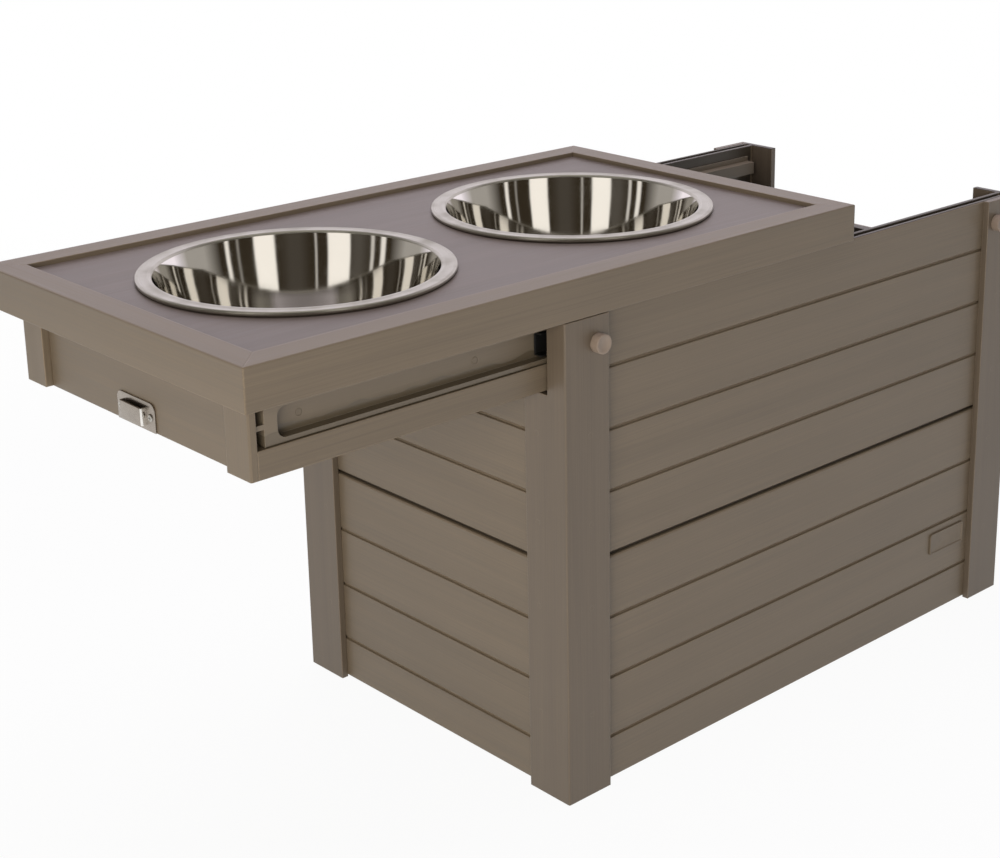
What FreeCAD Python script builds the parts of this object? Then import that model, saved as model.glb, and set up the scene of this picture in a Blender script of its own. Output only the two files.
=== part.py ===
import FreeCAD, Part
import math
import os

V = FreeCAD.Vector

# Dog feeding station: a panelled storage box whose bowl tray pulls out like a drawer.
# Frame: +X to the back, -Y to the right of someone facing the front, +Z up, millimetres.
# The tray is drawn pulled out by tray_out, and the origin is under the middle of that pose.

# Bowls
bowl_rim_diameter = 216.0
bowl_rim_width = 11.5
bowl_taper = 17.0
bowl_depth = 66.0
bowl_wall = 0.9
bowl_lip = 3.0
bowl_rim_height = 3.4
bowl_corner_radius = 14.0
bowl_mouth_radius = 1.6
bowl_seat = 0.3
bowl_gap = 39.0
bowl_hole_clearance = 1.5

# Tray
deck_end_margin = 20.0
deck_side_margin = 27.0
deck_thickness = 12.0
deck_recess = 3.5
tray_rail_width = 21.0
tray_rail_height = 28.5
tray_edge_radius = 1.0
tray_gap = 1.0
tray_out = 236.0

# Box
end_overhang = 14.5
side_overhang = 1.0
base_height = 360.0
post_leg = 41.0
post_wall = 5.5
post_edge_radius = 1.2
panel_thickness = 12.0
panel_lift = 1.0
seam_height = 178.5
seam_gap = 3.2
seam_tongue_thickness = 4.0
seam_tongue_height = 7.0
seam_tongue_fit = 0.4
edge_ease = 1.0
lower_board = 47.5
upper_board = 46.0
boards_per_panel = 4
groove_height = 1.5
groove_depth = 1.9
groove_lip = 1.6
core_slot = 5.0
core_slot_depth = 8.0
floor_thickness = 10.0
floor_clearance = 1.0
cleat_size = 18.0
cleat_lift = 5.0

# Drawer box under the tray
bowl_ground = 13.8
end_panel_gap = 3.0
block_width = 25.3
notch_gap = 1.9
apron_thickness = 12.0
drawer_wall = 12.0
drawer_back_gap = 3.5
ledge_gap = 2.2
bracket_leg = 22.0
bracket_width = 18.0
bracket_wall = 2.0
bracket_inset = 35.0

# Ball slides
slide_space = 13.0
channel_height = 26.0
channel_headroom = 7.0
channel_clearance = 2.3
channel_web = 1.6
channel_lip = 3.0
channel_back_gap = 22.7
channel_seat = 0.5
channel_setback = 6.8
channel_nose = 9.5
channel_end_radius = 6.0
tongue_height = 3.2
tongue_wall = 1.6
rail_height = 11.0
rail_flange_height = 20.0
rail_flange = 1.5
rail_stop_gap = 1.0
rail_back_gap = 14.0
rail_lead = 4.0
cage_length = 200.0
cage_space = 2.1
cage_wall = 1.0
cage_lead = 2.0
ball_clearance = 0.3
ball_pitch = 13.0
slide_screw_count = 4
slide_screw_end = 30.0

# Cap bolts that hold the slide rails through the posts
cap_inset = 30.0
cap_diameter = 14.0
cap_height = 7.0
cap_edge_radius = 1.0
bolt_diameter = 5.0
bolt_tip_gap = 2.0

# Screws
screw_diameter = 4.0
screw_head_diameter = 8.0
screw_head_height = 2.0
screw_tip_gap = 1.0
screw_clearance = 0.05
small_screw_diameter = 2.6
small_screw_head = 5.2
small_screw_depth = 8.0
panel_screw_inset = 30.0
cleat_screw_inset = 60.0

# Slide latch on the front panel and its keeper on the drawer front
keeper_width = 45.0
keeper_height = 19.5
keeper_plate = 1.2
keeper_corner = 5.0
loop_width = 26.0
loop_standoff = 6.0
loop_height = 12.0
latch_bolt_width = 18.0
latch_bolt_thickness = 2.4
latch_bolt_length = 44.0
latch_bolt_drop = 1.5
latch_fit = 0.4
latch_strap = 5.0
latch_wing = 7.4
latch_base_plate = 1.2
latch_knob_diameter = 9.0
latch_knob_height = 7.0
latch_travel = 14.0

# Blank plate on the right side
plate_length = 47.0
plate_height = 19.0
plate_thickness = 1.6
plate_corner = 1.5
plate_back_gap = 7.0
plate_top_gap = 5.5

# Cutting shapes reach past what they cut by this much
cut_over = 1.0
tolerance = 0.01

# Derived places
bowl_spacing = bowl_rim_diameter + bowl_gap
bowl_mouth = bowl_rim_diameter / 2 - bowl_rim_width
bowl_foot = bowl_mouth - bowl_taper
tray_length = 2 * (tray_rail_width + deck_end_margin) + bowl_rim_diameter + bowl_spacing
tray_width = 2 * (tray_rail_width + deck_side_margin) + bowl_rim_diameter
base_length = tray_length - 2 * end_overhang
base_width = tray_width - 2 * side_overhang
overall_length = base_length + tray_out + end_overhang
base_front = -overall_length / 2 + tray_out + end_overhang
base_back = base_front + base_length
half_width = base_width / 2
tray_front = base_front - tray_out - end_overhang
tray_back = tray_front + tray_length
tray_half = tray_width / 2
tray_bottom = base_height + tray_gap
tray_top = tray_bottom + tray_rail_height
deck_top = tray_top - deck_recess
deck_bottom = deck_top - deck_thickness
bowl_top = deck_top + bowl_seat + bowl_rim_height
bowl_inside = bowl_top - bowl_depth
drawer_bottom = bowl_inside - bowl_wall - bowl_ground
end_panel_top = drawer_bottom - end_panel_gap
panel_face = half_width - post_wall
panel_inside = panel_face - panel_thickness
leg_end = half_width - post_leg
block_front = base_front - tray_out
block_back = block_front + post_wall
block_outer = panel_inside - ledge_gap
block_inner = block_outer - block_width
notch_edge = block_outer + notch_gap
drawer_face = panel_inside - slide_space
drawer_inside = drawer_face - drawer_wall
drawer_back = base_back - post_wall - drawer_back_gap - tray_out
apron_back = block_back + apron_thickness
channel_top = tray_bottom - channel_headroom
channel_bottom = channel_top - channel_height
channel_middle = channel_bottom + channel_height / 2
channel_front = block_back + channel_setback
channel_back = drawer_back - channel_back_gap
channel_face = panel_inside - rail_flange - channel_clearance
ledge_top = channel_bottom - channel_seat
web_face = drawer_face + channel_web
groove_half = channel_height / 2 - channel_lip
rail_front = channel_front + channel_nose + tray_out + rail_stop_gap
rail_back = base_back - rail_back_gap
rail_nose = web_face + cage_space
ball_space = groove_half - rail_height / 2
ball_diameter = ball_space - 2 * ball_clearance
ball_level = rail_height / 2 + ball_space / 2
cage_front = base_front - cage_lead
cage_back = cage_front + cage_length
cage_middle = (web_face + rail_nose) / 2
ball_line = (rail_nose + channel_face) / 2
last_ball = cage_back - ball_pitch
balls_per_row = 1 + int((last_ball - rail_front - ball_diameter) / ball_pitch)
tray_middle = (tray_front + tray_back) / 2
bowl_centres = [tray_middle - bowl_spacing / 2, tray_middle + bowl_spacing / 2]
floor_bottom = panel_lift + cleat_lift + cleat_size
floor_top = floor_bottom + floor_thickness
screw_radius = screw_diameter / 2
hole_radius = screw_radius + screw_clearance


def box(x0, x1, y0, y1, z0, z1):
    return Part.makeBox(x1 - x0, y1 - y0, z1 - z0, V(x0, y0, z0))


def right_box(x0, x1, near, far, z0, z1):
    # near and far are distances from the middle plane
    return box(x0, x1, -far, -near, z0, z1)


def mirrored(shape):
    return shape.mirror(V(0, 0, 0), V(0, 1, 0))


def prism(points, travel):
    loop = points + [points[0]]
    return Part.Face(Part.makePolygon(loop)).extrude(travel)


def rounded_loop(points, radii):
    # closed wire through the points, each corner replaced by an arc of its radius
    edges = []
    count = len(points)
    ends = []
    for i in range(count):
        corner = points[i]
        back = (points[i - 1] - corner).normalize()
        ahead = (points[(i + 1) % count] - corner).normalize()
        if radii[i] == 0:
            ends.append((corner, corner, corner))
            continue
        half_angle = back.getAngle(ahead) / 2
        run = radii[i] / math.tan(half_angle)
        middle = (back + ahead).normalize()
        peak = corner + middle * (radii[i] / math.sin(half_angle) - radii[i])
        ends.append((corner + back * run, peak, corner + ahead * run))
    for i in range(count):
        start, peak, end = ends[i]
        if radii[i] > 0:
            edges.append(Part.Arc(start, peak, end).toShape())
        following = ends[(i + 1) % count][0]
        if not near_to((following - end).Length, 0):
            edges.append(Part.LineSegment(end, following).toShape())
    return Part.Wire(edges)


def rounded_plate(points, radii, travel):
    return Part.Face(rounded_loop(points, radii)).extrude(travel)


def eased(shape, radius, wanted):
    # fillets the straight edges whose middle point passes the test
    edges = [e for e in shape.Edges if wanted(e.CenterOfMass, e)]
    return shape.makeFillet(radius, edges)


def along(edge, axis):
    a = edge.Vertexes[0].Point
    b = edge.Vertexes[-1].Point
    return near_to(abs((b - a).normalize().dot(axis)), 1)


def near_to(value, target):
    return abs(value - target) < tolerance


def rod(start, direction, radius, length):
    return Part.makeCylinder(radius, length, start, direction)


def screw(seat, direction, length):
    # pan head standing on the seat, shank running along the direction
    head = Part.makeCylinder(screw_head_diameter / 2, screw_head_height, seat, direction * -1)
    top = seat - direction * screw_head_height
    rim = [e for e in head.Edges if near_to((e.CenterOfMass - top).Length, 0)]
    head = head.makeFillet(screw_head_height / 2, rim)
    return head.fuse(rod(seat, direction, screw_radius, length))


def small_screw(seat, direction):
    # flush countersunk screw
    head_depth = (small_screw_head - small_screw_diameter) / 2
    head = Part.makeCone(small_screw_head / 2, small_screw_diameter / 2, head_depth, seat, direction)
    return head.fuse(rod(seat, direction, small_screw_diameter / 2, small_screw_depth))


def small_screw_hole(seat, direction):
    head_depth = (small_screw_head - small_screw_diameter) / 2
    wide = small_screw_head / 2 + screw_clearance
    narrow = small_screw_diameter / 2 + screw_clearance
    head = Part.makeCone(wide, narrow, head_depth, seat, direction)
    return head.fuse(rod(seat, direction, narrow, small_screw_depth + screw_tip_gap))


def small_screw_holes(sites):
    return [small_screw_hole(seat, direction) for seat, direction in sites]


def drilled(shape, sites, length):
    holes = [rod(seat, direction, hole_radius, length) for seat, direction in sites]
    return shape.cut(holes)


def sites_on(sites, chosen):
    return [site for site in sites if chosen(*site)]


# Panels

def board_grooves(low, high, pitch, from_top):
    # heights of the grooves between the boards of one panel
    heights = []
    for i in range(1, boards_per_panel):
        level = high - i * pitch if from_top else low + i * pitch
        if low + pitch / 4 < level < high - pitch / 4:
            heights.append(level)
    return sorted(heights)


def tongue_points(base, tip, thickness):
    # a step at the middle of a panel's edge, from its outer side to its inner one
    near = (panel_thickness - thickness) / 2
    far = panel_thickness - near
    return [(near, base), (near, tip), (far, tip), (far, base)]


def lower_outline(grooves):
    # the lower panel's top edge carries a tongue that bridges the seam
    tongue = tongue_points(lower_high, lower_high + seam_tongue_height, seam_tongue_thickness)
    return face_points(lower_low, lower_high, grooves) + tongue + back_points(lower_low, lower_high)


def upper_outline(high, grooves, slotted):
    # the upper panel's bottom edge has the socket for that tongue
    tip = lower_high + seam_tongue_height + seam_tongue_fit
    socket = tongue_points(upper_low, tip, seam_tongue_thickness + 2 * seam_tongue_fit)
    slot = tongue_points(high, high - core_slot_depth, core_slot) if slotted else []
    return face_points(upper_low, high, grooves) + slot + back_points(upper_low, high) + socket[::-1]


def back_points(low, high):
    return [(panel_thickness, high), (panel_thickness, low)]


def face_points(low, high, grooves):
    # (depth, height) points of a panel's outer face, from its bottom edge to its top one
    points = [(edge_ease, low), (0, low + edge_ease)]
    for level in grooves:
        points.append((0, level - groove_height / 2))
        points.append((groove_depth, level - groove_height / 2))
        points.append((groove_depth, level + groove_height / 2))
        points.append((groove_lip, level + groove_height / 2))
        points.append((0, level + groove_height / 2 + groove_lip))
    points.append((0, high - edge_ease))
    points.append((edge_ease, high))
    return points


def side_panel(outline):
    start = base_front + post_wall
    points = [V(start, -panel_face + depth, height) for depth, height in outline]
    return prism(points, V(base_length - 2 * post_wall, 0, 0))


def front_panel(outline):
    face = base_front + post_wall
    points = [V(face + depth, -panel_inside, height) for depth, height in outline]
    return prism(points, V(0, 2 * panel_inside, 0))


def to_back(shape):
    middle = (base_front + base_back) / 2
    return shape.mirror(V(middle, 0, 0), V(1, 0, 0))


lower_low = panel_lift
lower_high = seam_height - seam_gap / 2
upper_low = seam_height + seam_gap / 2
lower_grooves = board_grooves(lower_low, lower_high, lower_board, True)
upper_grooves = board_grooves(upper_low, base_height, upper_board, False)
end_grooves = [level for level in upper_grooves if level < end_panel_top - upper_board / 4]


# Posts

def post_blank():
    corner = [(0, 0), (post_leg, 0), (post_leg, post_wall),
              (post_wall, post_wall), (post_wall, post_leg), (0, post_leg)]
    points = [V(base_front + a, -half_width + b, 0) for a, b in corner]
    solid = prism(points, V(0, 0, base_height))

    def outer_edge(middle, edge):
        upright = along(edge, V(0, 0, 1))
        return upright and near_to(middle.x, base_front) and near_to(middle.y, -half_width)
    return eased(solid, post_edge_radius, outer_edge)


def front_post():
    # the front leg is cut back above the end panel so that the drawer's block passes
    notch = right_box(
        base_front - cut_over, base_front + post_wall, leg_end - cut_over, notch_edge,
        end_panel_top, base_height + cut_over,
    )
    return post_blank().cut(notch)


# Screws that hold the panels to the posts, driven from inside the box

def panel_screw_sites():
    sites = []
    spans = [(floor_top, lower_high), (upper_low, end_panel_top)]
    side_x = [base_front + (post_wall + post_leg) / 2, base_back - (post_wall + post_leg) / 2]
    end_y = (leg_end + panel_inside) / 2
    for low, high in spans:
        for level in (low + panel_screw_inset, high - panel_screw_inset):
            for sign in (-1, 1):
                for x in side_x:
                    sites.append((V(x, sign * panel_inside, level), V(0, sign, 0)))
                front_seat = V(base_front + post_wall + panel_thickness, sign * end_y, level)
                back_seat = V(base_back - post_wall - panel_thickness, sign * end_y, level)
                sites.append((front_seat, V(-1, 0, 0)))
                sites.append((back_seat, V(1, 0, 0)))
    return sites


panel_screw_length = panel_thickness + post_wall - screw_tip_gap


# Cap bolts through posts, side panels and slide rails

def cap_bolt_sites():
    places = [base_front + cap_inset, base_back - cap_inset]
    return [V(x, -half_width, channel_middle) for x in places]


bolt_length = half_width - rail_nose - bolt_tip_gap


def cap_bolt(seat):
    outward = V(0, -1, 0)
    head = Part.makeCylinder(cap_diameter / 2, cap_height, seat, outward)
    top = seat + outward * cap_height
    rim = [e for e in head.Edges if near_to((e.CenterOfMass - top).Length, 0)]
    head = head.makeFillet(cap_edge_radius, rim)
    return head.fuse(rod(seat, outward * -1, bolt_diameter / 2, bolt_length))


def bolt_holes():
    radius = bolt_diameter / 2 + screw_clearance
    return [rod(seat, V(0, 1, 0), radius, bolt_length + screw_tip_gap) for seat in cap_bolt_sites()]


# Floor and its cleats

cleat_low = panel_lift + cleat_lift
inside_front = base_front + post_wall + panel_thickness
inside_back = base_back - post_wall - panel_thickness


def floor_board():
    half = panel_inside - floor_clearance
    front = inside_front + floor_clearance
    back = inside_back - floor_clearance
    return box(front, back, -half, half, floor_bottom, floor_top)


def side_cleat():
    inner = panel_inside - cleat_size
    return right_box(inside_front, inside_back, inner, panel_inside, cleat_low, floor_bottom)


def front_cleat():
    reach = panel_inside - cleat_size
    return box(inside_front, inside_front + cleat_size, -reach, reach, cleat_low, floor_bottom)


def cleat_screw_sites():
    level = (cleat_low + floor_bottom) / 2
    sites = []
    for sign in (-1, 1):
        for x in (inside_front + cleat_screw_inset, inside_back - cleat_screw_inset):
            sites.append((V(x, sign * (panel_inside - cleat_size), level), V(0, sign, 0)))
        y = sign * (panel_inside - cleat_screw_inset)
        sites.append((V(inside_front + cleat_size, y, level), V(-1, 0, 0)))
        sites.append((V(inside_back - cleat_size, y, level), V(1, 0, 0)))
    return sites


cleat_screw_length = cleat_size + panel_thickness - groove_depth - screw_tip_gap


# Slides

def slide_rail():
    low = channel_middle - rail_height / 2
    flange_low = channel_middle - rail_flange_height / 2
    bar = right_box(rail_front, rail_back, rail_nose, panel_inside, low, low + rail_height)
    flange = right_box(
        rail_front - rail_lead, rail_back, panel_inside - rail_flange, panel_inside,
        flange_low, flange_low + rail_flange_height,
    )
    return bar.fuse(flange).removeSplitter().cut(bolt_holes())


def slide_screw_sites():
    first = channel_front + slide_screw_end
    last = channel_back - slide_screw_end
    step = (last - first) / (slide_screw_count - 1)
    places = [first + i * step for i in range(slide_screw_count)]
    return [(V(x, -web_face, channel_middle), V(0, 1, 0)) for x in places]


def slide_channel():
    blank = right_box(channel_front, channel_back, drawer_face, channel_face, channel_bottom, channel_top)
    groove_front = channel_front + channel_nose
    groove_back = channel_back + cut_over
    low = channel_middle - groove_half
    high = channel_middle + groove_half
    corners = [V(groove_front, -web_face, low), V(groove_back, -web_face, low),
               V(groove_back, -web_face, high), V(groove_front, -web_face, high)]
    radii = [channel_end_radius, 0, 0, channel_end_radius]
    groove = rounded_plate(corners, radii, V(0, web_face - channel_face - cut_over, 0))
    tongue = right_box(
        block_back, channel_front, channel_face - tongue_wall, channel_face,
        channel_middle - tongue_height / 2, channel_middle + tongue_height / 2,
    )
    return blank.cut(groove).fuse(tongue).cut(small_screw_holes(slide_screw_sites()))


def ball_places():
    xs = [last_ball - i * ball_pitch for i in range(balls_per_row)]
    rows = (channel_middle - ball_level, channel_middle + ball_level)
    return [V(x, -ball_line, z) for x in xs for z in rows]


def ball_cage():
    half_wall = cage_wall / 2
    low = channel_middle - ball_level
    high = channel_middle + ball_level
    cage = right_box(
        cage_front, cage_back, cage_middle - half_wall, cage_middle + half_wall,
        low - half_wall, high + half_wall,
    )
    far = channel_face - ball_clearance
    for level in (low, high):
        arm = right_box(cage_front, cage_back, cage_middle, far, level - half_wall, level + half_wall)
        cage = cage.fuse(arm)
    pocket = (ball_diameter + ball_clearance) / 2
    holes = [rod(p - V(0, 0, cage_wall), V(0, 0, 1), pocket, 2 * cage_wall) for p in ball_places()]
    return cage.removeSplitter().cut(holes)


def slide_balls():
    return Part.makeCompound([Part.makeSphere(ball_diameter / 2, p) for p in ball_places()])


# Tray frame and deck

def tray_rail(corners):
    # corners: outer start, outer end, inner end, inner start, mitred at both ends
    points = [V(x, y, tray_bottom) for x, y in corners]
    solid = prism(points, V(0, 0, tray_rail_height))
    outer_a, outer_b = points[0], points[1]
    outer_middle = (outer_a + outer_b) * 0.5

    def top_outer(middle, edge):
        return near_to((middle - outer_middle - V(0, 0, tray_rail_height)).Length, 0)
    return eased(solid, tray_edge_radius, top_outer)


deck_front = tray_front + tray_rail_width
deck_back = tray_back - tray_rail_width
deck_half = tray_half - tray_rail_width


def right_tray_rail():
    return tray_rail([
        (tray_front, -tray_half), (tray_back, -tray_half), (deck_back, -deck_half), (deck_front, -deck_half),
    ])


def front_tray_rail():
    return tray_rail([
        (tray_front, tray_half), (tray_front, -tray_half), (deck_front, -deck_half), (deck_front, deck_half),
    ])


def back_tray_rail():
    return tray_rail([
        (tray_back, -tray_half), (tray_back, tray_half), (deck_back, deck_half), (deck_back, -deck_half),
    ])


def tray_deck():
    deck = box(deck_front, deck_back, -deck_half, deck_half, deck_bottom, deck_top)
    hole = bowl_mouth + bowl_wall + bowl_hole_clearance
    through = deck_thickness + 2 * cut_over
    holes = [rod(V(x, 0, deck_bottom - cut_over), V(0, 0, 1), hole, through) for x in bowl_centres]
    return deck.cut(holes)


# Drawer box, whose boards reach up to the deck inside the tray's rails

def inside_rails(board):
    front_rail = box(tray_front, deck_front, -tray_half, tray_half, tray_bottom, tray_top)
    back_rail = box(deck_back, tray_back, -tray_half, tray_half, tray_bottom, tray_top)
    return board.cut([front_rail, back_rail])


def drawer_front_board():
    board = box(block_back, apron_back, -drawer_inside, drawer_inside, drawer_bottom, deck_bottom)
    return inside_rails(board).cut(small_screw_holes(keeper_screw_seats()))


def corner_block():
    solid = right_box(block_front, block_back, block_inner, block_outer, drawer_bottom, tray_bottom)

    def outer_edge(middle, edge):
        upright = along(edge, V(0, 0, 1))
        return upright and near_to(middle.x, block_front) and near_to(middle.y, -block_outer)
    return eased(solid, post_edge_radius, outer_edge)


def drawer_side():
    corner = [(drawer_inside, drawer_bottom), (block_outer, drawer_bottom), (block_outer, ledge_top),
              (drawer_face, ledge_top), (drawer_face, deck_bottom), (drawer_inside, deck_bottom)]
    points = [V(block_back, -s, z) for s, z in corner]
    solid = prism(points, V(drawer_back - block_back, 0, 0))
    side_screws = sites_on(bracket_screw_sites(), lambda seat, direction: direction.y < 0)
    return inside_rails(solid).cut(small_screw_holes(slide_screw_sites() + side_screws))


def drawer_back_board():
    front = drawer_back - drawer_wall
    return inside_rails(box(front, drawer_back, -drawer_inside, drawer_inside, drawer_bottom, deck_bottom))


def deck_bracket(x):
    # angle between the drawer side's inner face and the deck's underside
    corner = [(drawer_inside, deck_bottom), (drawer_inside - bracket_leg, deck_bottom),
              (drawer_inside - bracket_leg, deck_bottom - bracket_wall),
              (drawer_inside - bracket_wall, deck_bottom - bracket_wall),
              (drawer_inside - bracket_wall, deck_bottom - bracket_leg),
              (drawer_inside, deck_bottom - bracket_leg)]
    points = [V(x - bracket_width / 2, -s, z) for s, z in corner]
    return prism(points, V(bracket_width, 0, 0)).cut(small_screw_holes(bracket_screw_sites()))


def bracket_places():
    return [apron_back + bracket_inset, tray_middle, drawer_back - drawer_wall - bracket_inset]


def bracket_screw_sites():
    # one screw into the side board and one up into the deck for each right-hand bracket
    middle = (bracket_leg + bracket_wall) / 2
    face = drawer_inside - bracket_wall
    sites = []
    for x in bracket_places():
        sites.append((V(x, -face, deck_bottom - middle), V(0, -1, 0)))
        sites.append((V(x, middle - drawer_inside, deck_bottom - bracket_wall), V(0, 0, 1)))
    return sites


# Bowls

def bowl(x):
    rim = bowl_rim_diameter / 2
    seat = deck_top + bowl_seat
    outline = [
        (0, bowl_inside, 0),
        (bowl_foot, bowl_inside, bowl_corner_radius),
        (bowl_mouth, bowl_top, bowl_mouth_radius),
        (rim, bowl_top, bowl_lip / 2),
        (rim, seat, bowl_lip / 3),
        (rim - bowl_lip, seat, bowl_lip / 3),
        (rim - bowl_lip, bowl_top - bowl_wall, 0),
        (bowl_mouth + bowl_wall, bowl_top - bowl_wall, 0),
        (bowl_foot + bowl_wall, bowl_inside - bowl_wall, bowl_corner_radius + bowl_wall),
        (0, bowl_inside - bowl_wall, 0),
    ]
    points = [V(x + r, 0, z) for r, z, radius in outline]
    radii = [radius for r, z, radius in outline]
    face = Part.Face(rounded_loop(points, radii))
    return face.revolve(V(x, 0, 0), V(0, 0, 1), 360)


# Latch keeper on the drawer front

keeper_middle = drawer_bottom + keeper_height / 2


def keeper_screw_seats():
    offset = (keeper_width + loop_width) / 4
    face = block_back - keeper_plate
    return [(V(face, sign * offset, keeper_middle), V(1, 0, 0)) for sign in (-1, 1)]


def latch_keeper():
    front = block_back - keeper_plate
    half = keeper_width / 2
    corner = [(-half, drawer_bottom), (half, drawer_bottom),
              (half, drawer_bottom + keeper_height), (-half, drawer_bottom + keeper_height)]
    points = [V(block_back, y, z) for y, z in corner]
    plate = rounded_plate(points, [0, 0, keeper_corner, keeper_corner], V(-keeper_plate, 0, 0))
    low = keeper_middle - loop_height / 2
    high = low + loop_height
    loop_half = loop_width / 2
    loop_front = front - loop_standoff
    strap = box(loop_front, front, -loop_half, loop_half, low, high)
    inner_half = loop_half - keeper_plate
    inner_front = loop_front + keeper_plate
    hollow = box(inner_front, front, -inner_half, inner_half, low - cut_over, high + cut_over)

    def strap_corner(middle, edge):
        return along(edge, V(0, 0, 1)) and near_to(middle.x, loop_front)
    strap = eased(strap, keeper_plate, strap_corner).cut(hollow)
    return plate.fuse(strap).cut(small_screw_holes(keeper_screw_seats()))


# Slide latch on the front panel, below the keeper's closed place

latch_face = base_front + post_wall
latch_plate_face = latch_face - latch_base_plate
latch_top = end_panel_top - latch_bolt_drop
latch_base_height = 2 * (latch_strap + latch_fit) + latch_knob_diameter + latch_travel
latch_base_top = latch_top - (latch_bolt_length - latch_base_height) / 2
latch_base_low = latch_base_top - latch_base_height
latch_bolt_back = latch_plate_face - latch_fit
latch_bolt_face = latch_bolt_back - latch_bolt_thickness
channel_half = latch_bolt_width / 2 + latch_fit
strap_half = channel_half + latch_base_plate


def latch_screw_seats():
    offset = strap_half + latch_wing / 2
    levels = (latch_base_low + latch_strap, latch_base_top - latch_strap)
    return [(V(latch_plate_face, sign * offset, z), V(1, 0, 0)) for sign in (-1, 1) for z in levels]


def latch_base():
    half = strap_half + latch_wing
    plate = box(latch_plate_face, latch_face, -half, half, latch_base_low, latch_base_top)
    strap_back = latch_bolt_face - latch_fit
    strap_face = strap_back - latch_base_plate
    solid = plate
    for low in (latch_base_low, latch_base_top - latch_strap):
        high = low + latch_strap
        strap = box(strap_face, latch_plate_face, -strap_half, strap_half, low, high)
        hollow = box(
            strap_back, latch_plate_face, -channel_half, channel_half, low - cut_over, high + cut_over,
        )
        solid = solid.fuse(strap.cut(hollow))
    return solid.cut(small_screw_holes(latch_screw_seats()))


def latch_bolt():
    half = latch_bolt_width / 2
    low = latch_top - latch_bolt_length
    bar = box(latch_bolt_face, latch_bolt_back, -half, half, low, latch_top)
    knob_level = latch_base_low + latch_strap + latch_knob_diameter / 2 + latch_fit
    seat = V(latch_bolt_face, 0, knob_level)
    knob = rod(seat, V(-1, 0, 0), latch_knob_diameter / 2, latch_knob_height)
    top = seat - V(latch_knob_height, 0, 0)
    rim = [e for e in knob.Edges if near_to((e.CenterOfMass - top).Length, 0)]
    knob = knob.makeFillet(latch_knob_diameter / 4, rim)
    return bar.fuse(knob)


# Blank plate on the right side's lower panel

def blank_plate():
    back = base_back - post_leg - plate_back_gap
    front = back - plate_length
    high = lower_grooves[1] - groove_height / 2 - plate_top_gap
    low = high - plate_height
    corner = [(front, low), (back, low), (back, high), (front, high)]
    points = [V(x, -panel_face, z) for x, z in corner]
    return rounded_plate(points, [plate_corner] * 4, V(0, -plate_thickness, 0))


# Assembly

panel_sites = panel_screw_sites()
cleat_sites = cleat_screw_sites()
panel_holes = panel_screw_length + screw_tip_gap / 2
cleat_holes = cleat_screw_length + screw_tip_gap / 2
deck_sites = sites_on(bracket_screw_sites(), lambda seat, direction: direction.z > 0)
right_sites = sites_on(panel_sites, lambda seat, direction: direction.y < 0)
front_sites = sites_on(panel_sites, lambda seat, direction: direction.x < 0)
right_cleat_sites = sites_on(cleat_sites, lambda seat, direction: direction.y < 0)
front_cleat_sites = sites_on(cleat_sites, lambda seat, direction: direction.x < 0)

front_right_post = drilled(front_post(), right_sites + front_sites, panel_holes).cut(bolt_holes())
back_right_post = to_back(drilled(post_blank(), right_sites + front_sites, panel_holes).cut(bolt_holes()))

side_lower = drilled(side_panel(lower_outline(lower_grooves)), right_sites, panel_holes)
side_lower = drilled(side_lower, right_cleat_sites, cleat_holes)
side_upper = drilled(side_panel(upper_outline(base_height, upper_grooves, True)), right_sites, panel_holes)
side_upper = side_upper.cut(bolt_holes())
front_lower = drilled(front_panel(lower_outline(lower_grooves)), front_sites, panel_holes)
front_lower = drilled(front_lower, front_cleat_sites, cleat_holes)
end_upper = drilled(front_panel(upper_outline(end_panel_top, end_grooves, False)), front_sites, panel_holes)
front_upper = end_upper.cut(small_screw_holes(latch_screw_seats()))
right_cleat = drilled(side_cleat(), right_cleat_sites, cleat_holes)
end_cleat = drilled(front_cleat(), front_cleat_sites, cleat_holes)

cap_bolts = [cap_bolt(seat) for seat in cap_bolt_sites()]
slide_screws = [small_screw(seat, direction) for seat, direction in slide_screw_sites()]
brackets = [deck_bracket(x) for x in bracket_places()]
bracket_screws = [small_screw(seat, direction) for seat, direction in bracket_screw_sites()]
deck_holes = small_screw_holes(deck_sites)
deck = tray_deck().cut(deck_holes + [mirrored(hole) for hole in deck_holes])

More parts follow.
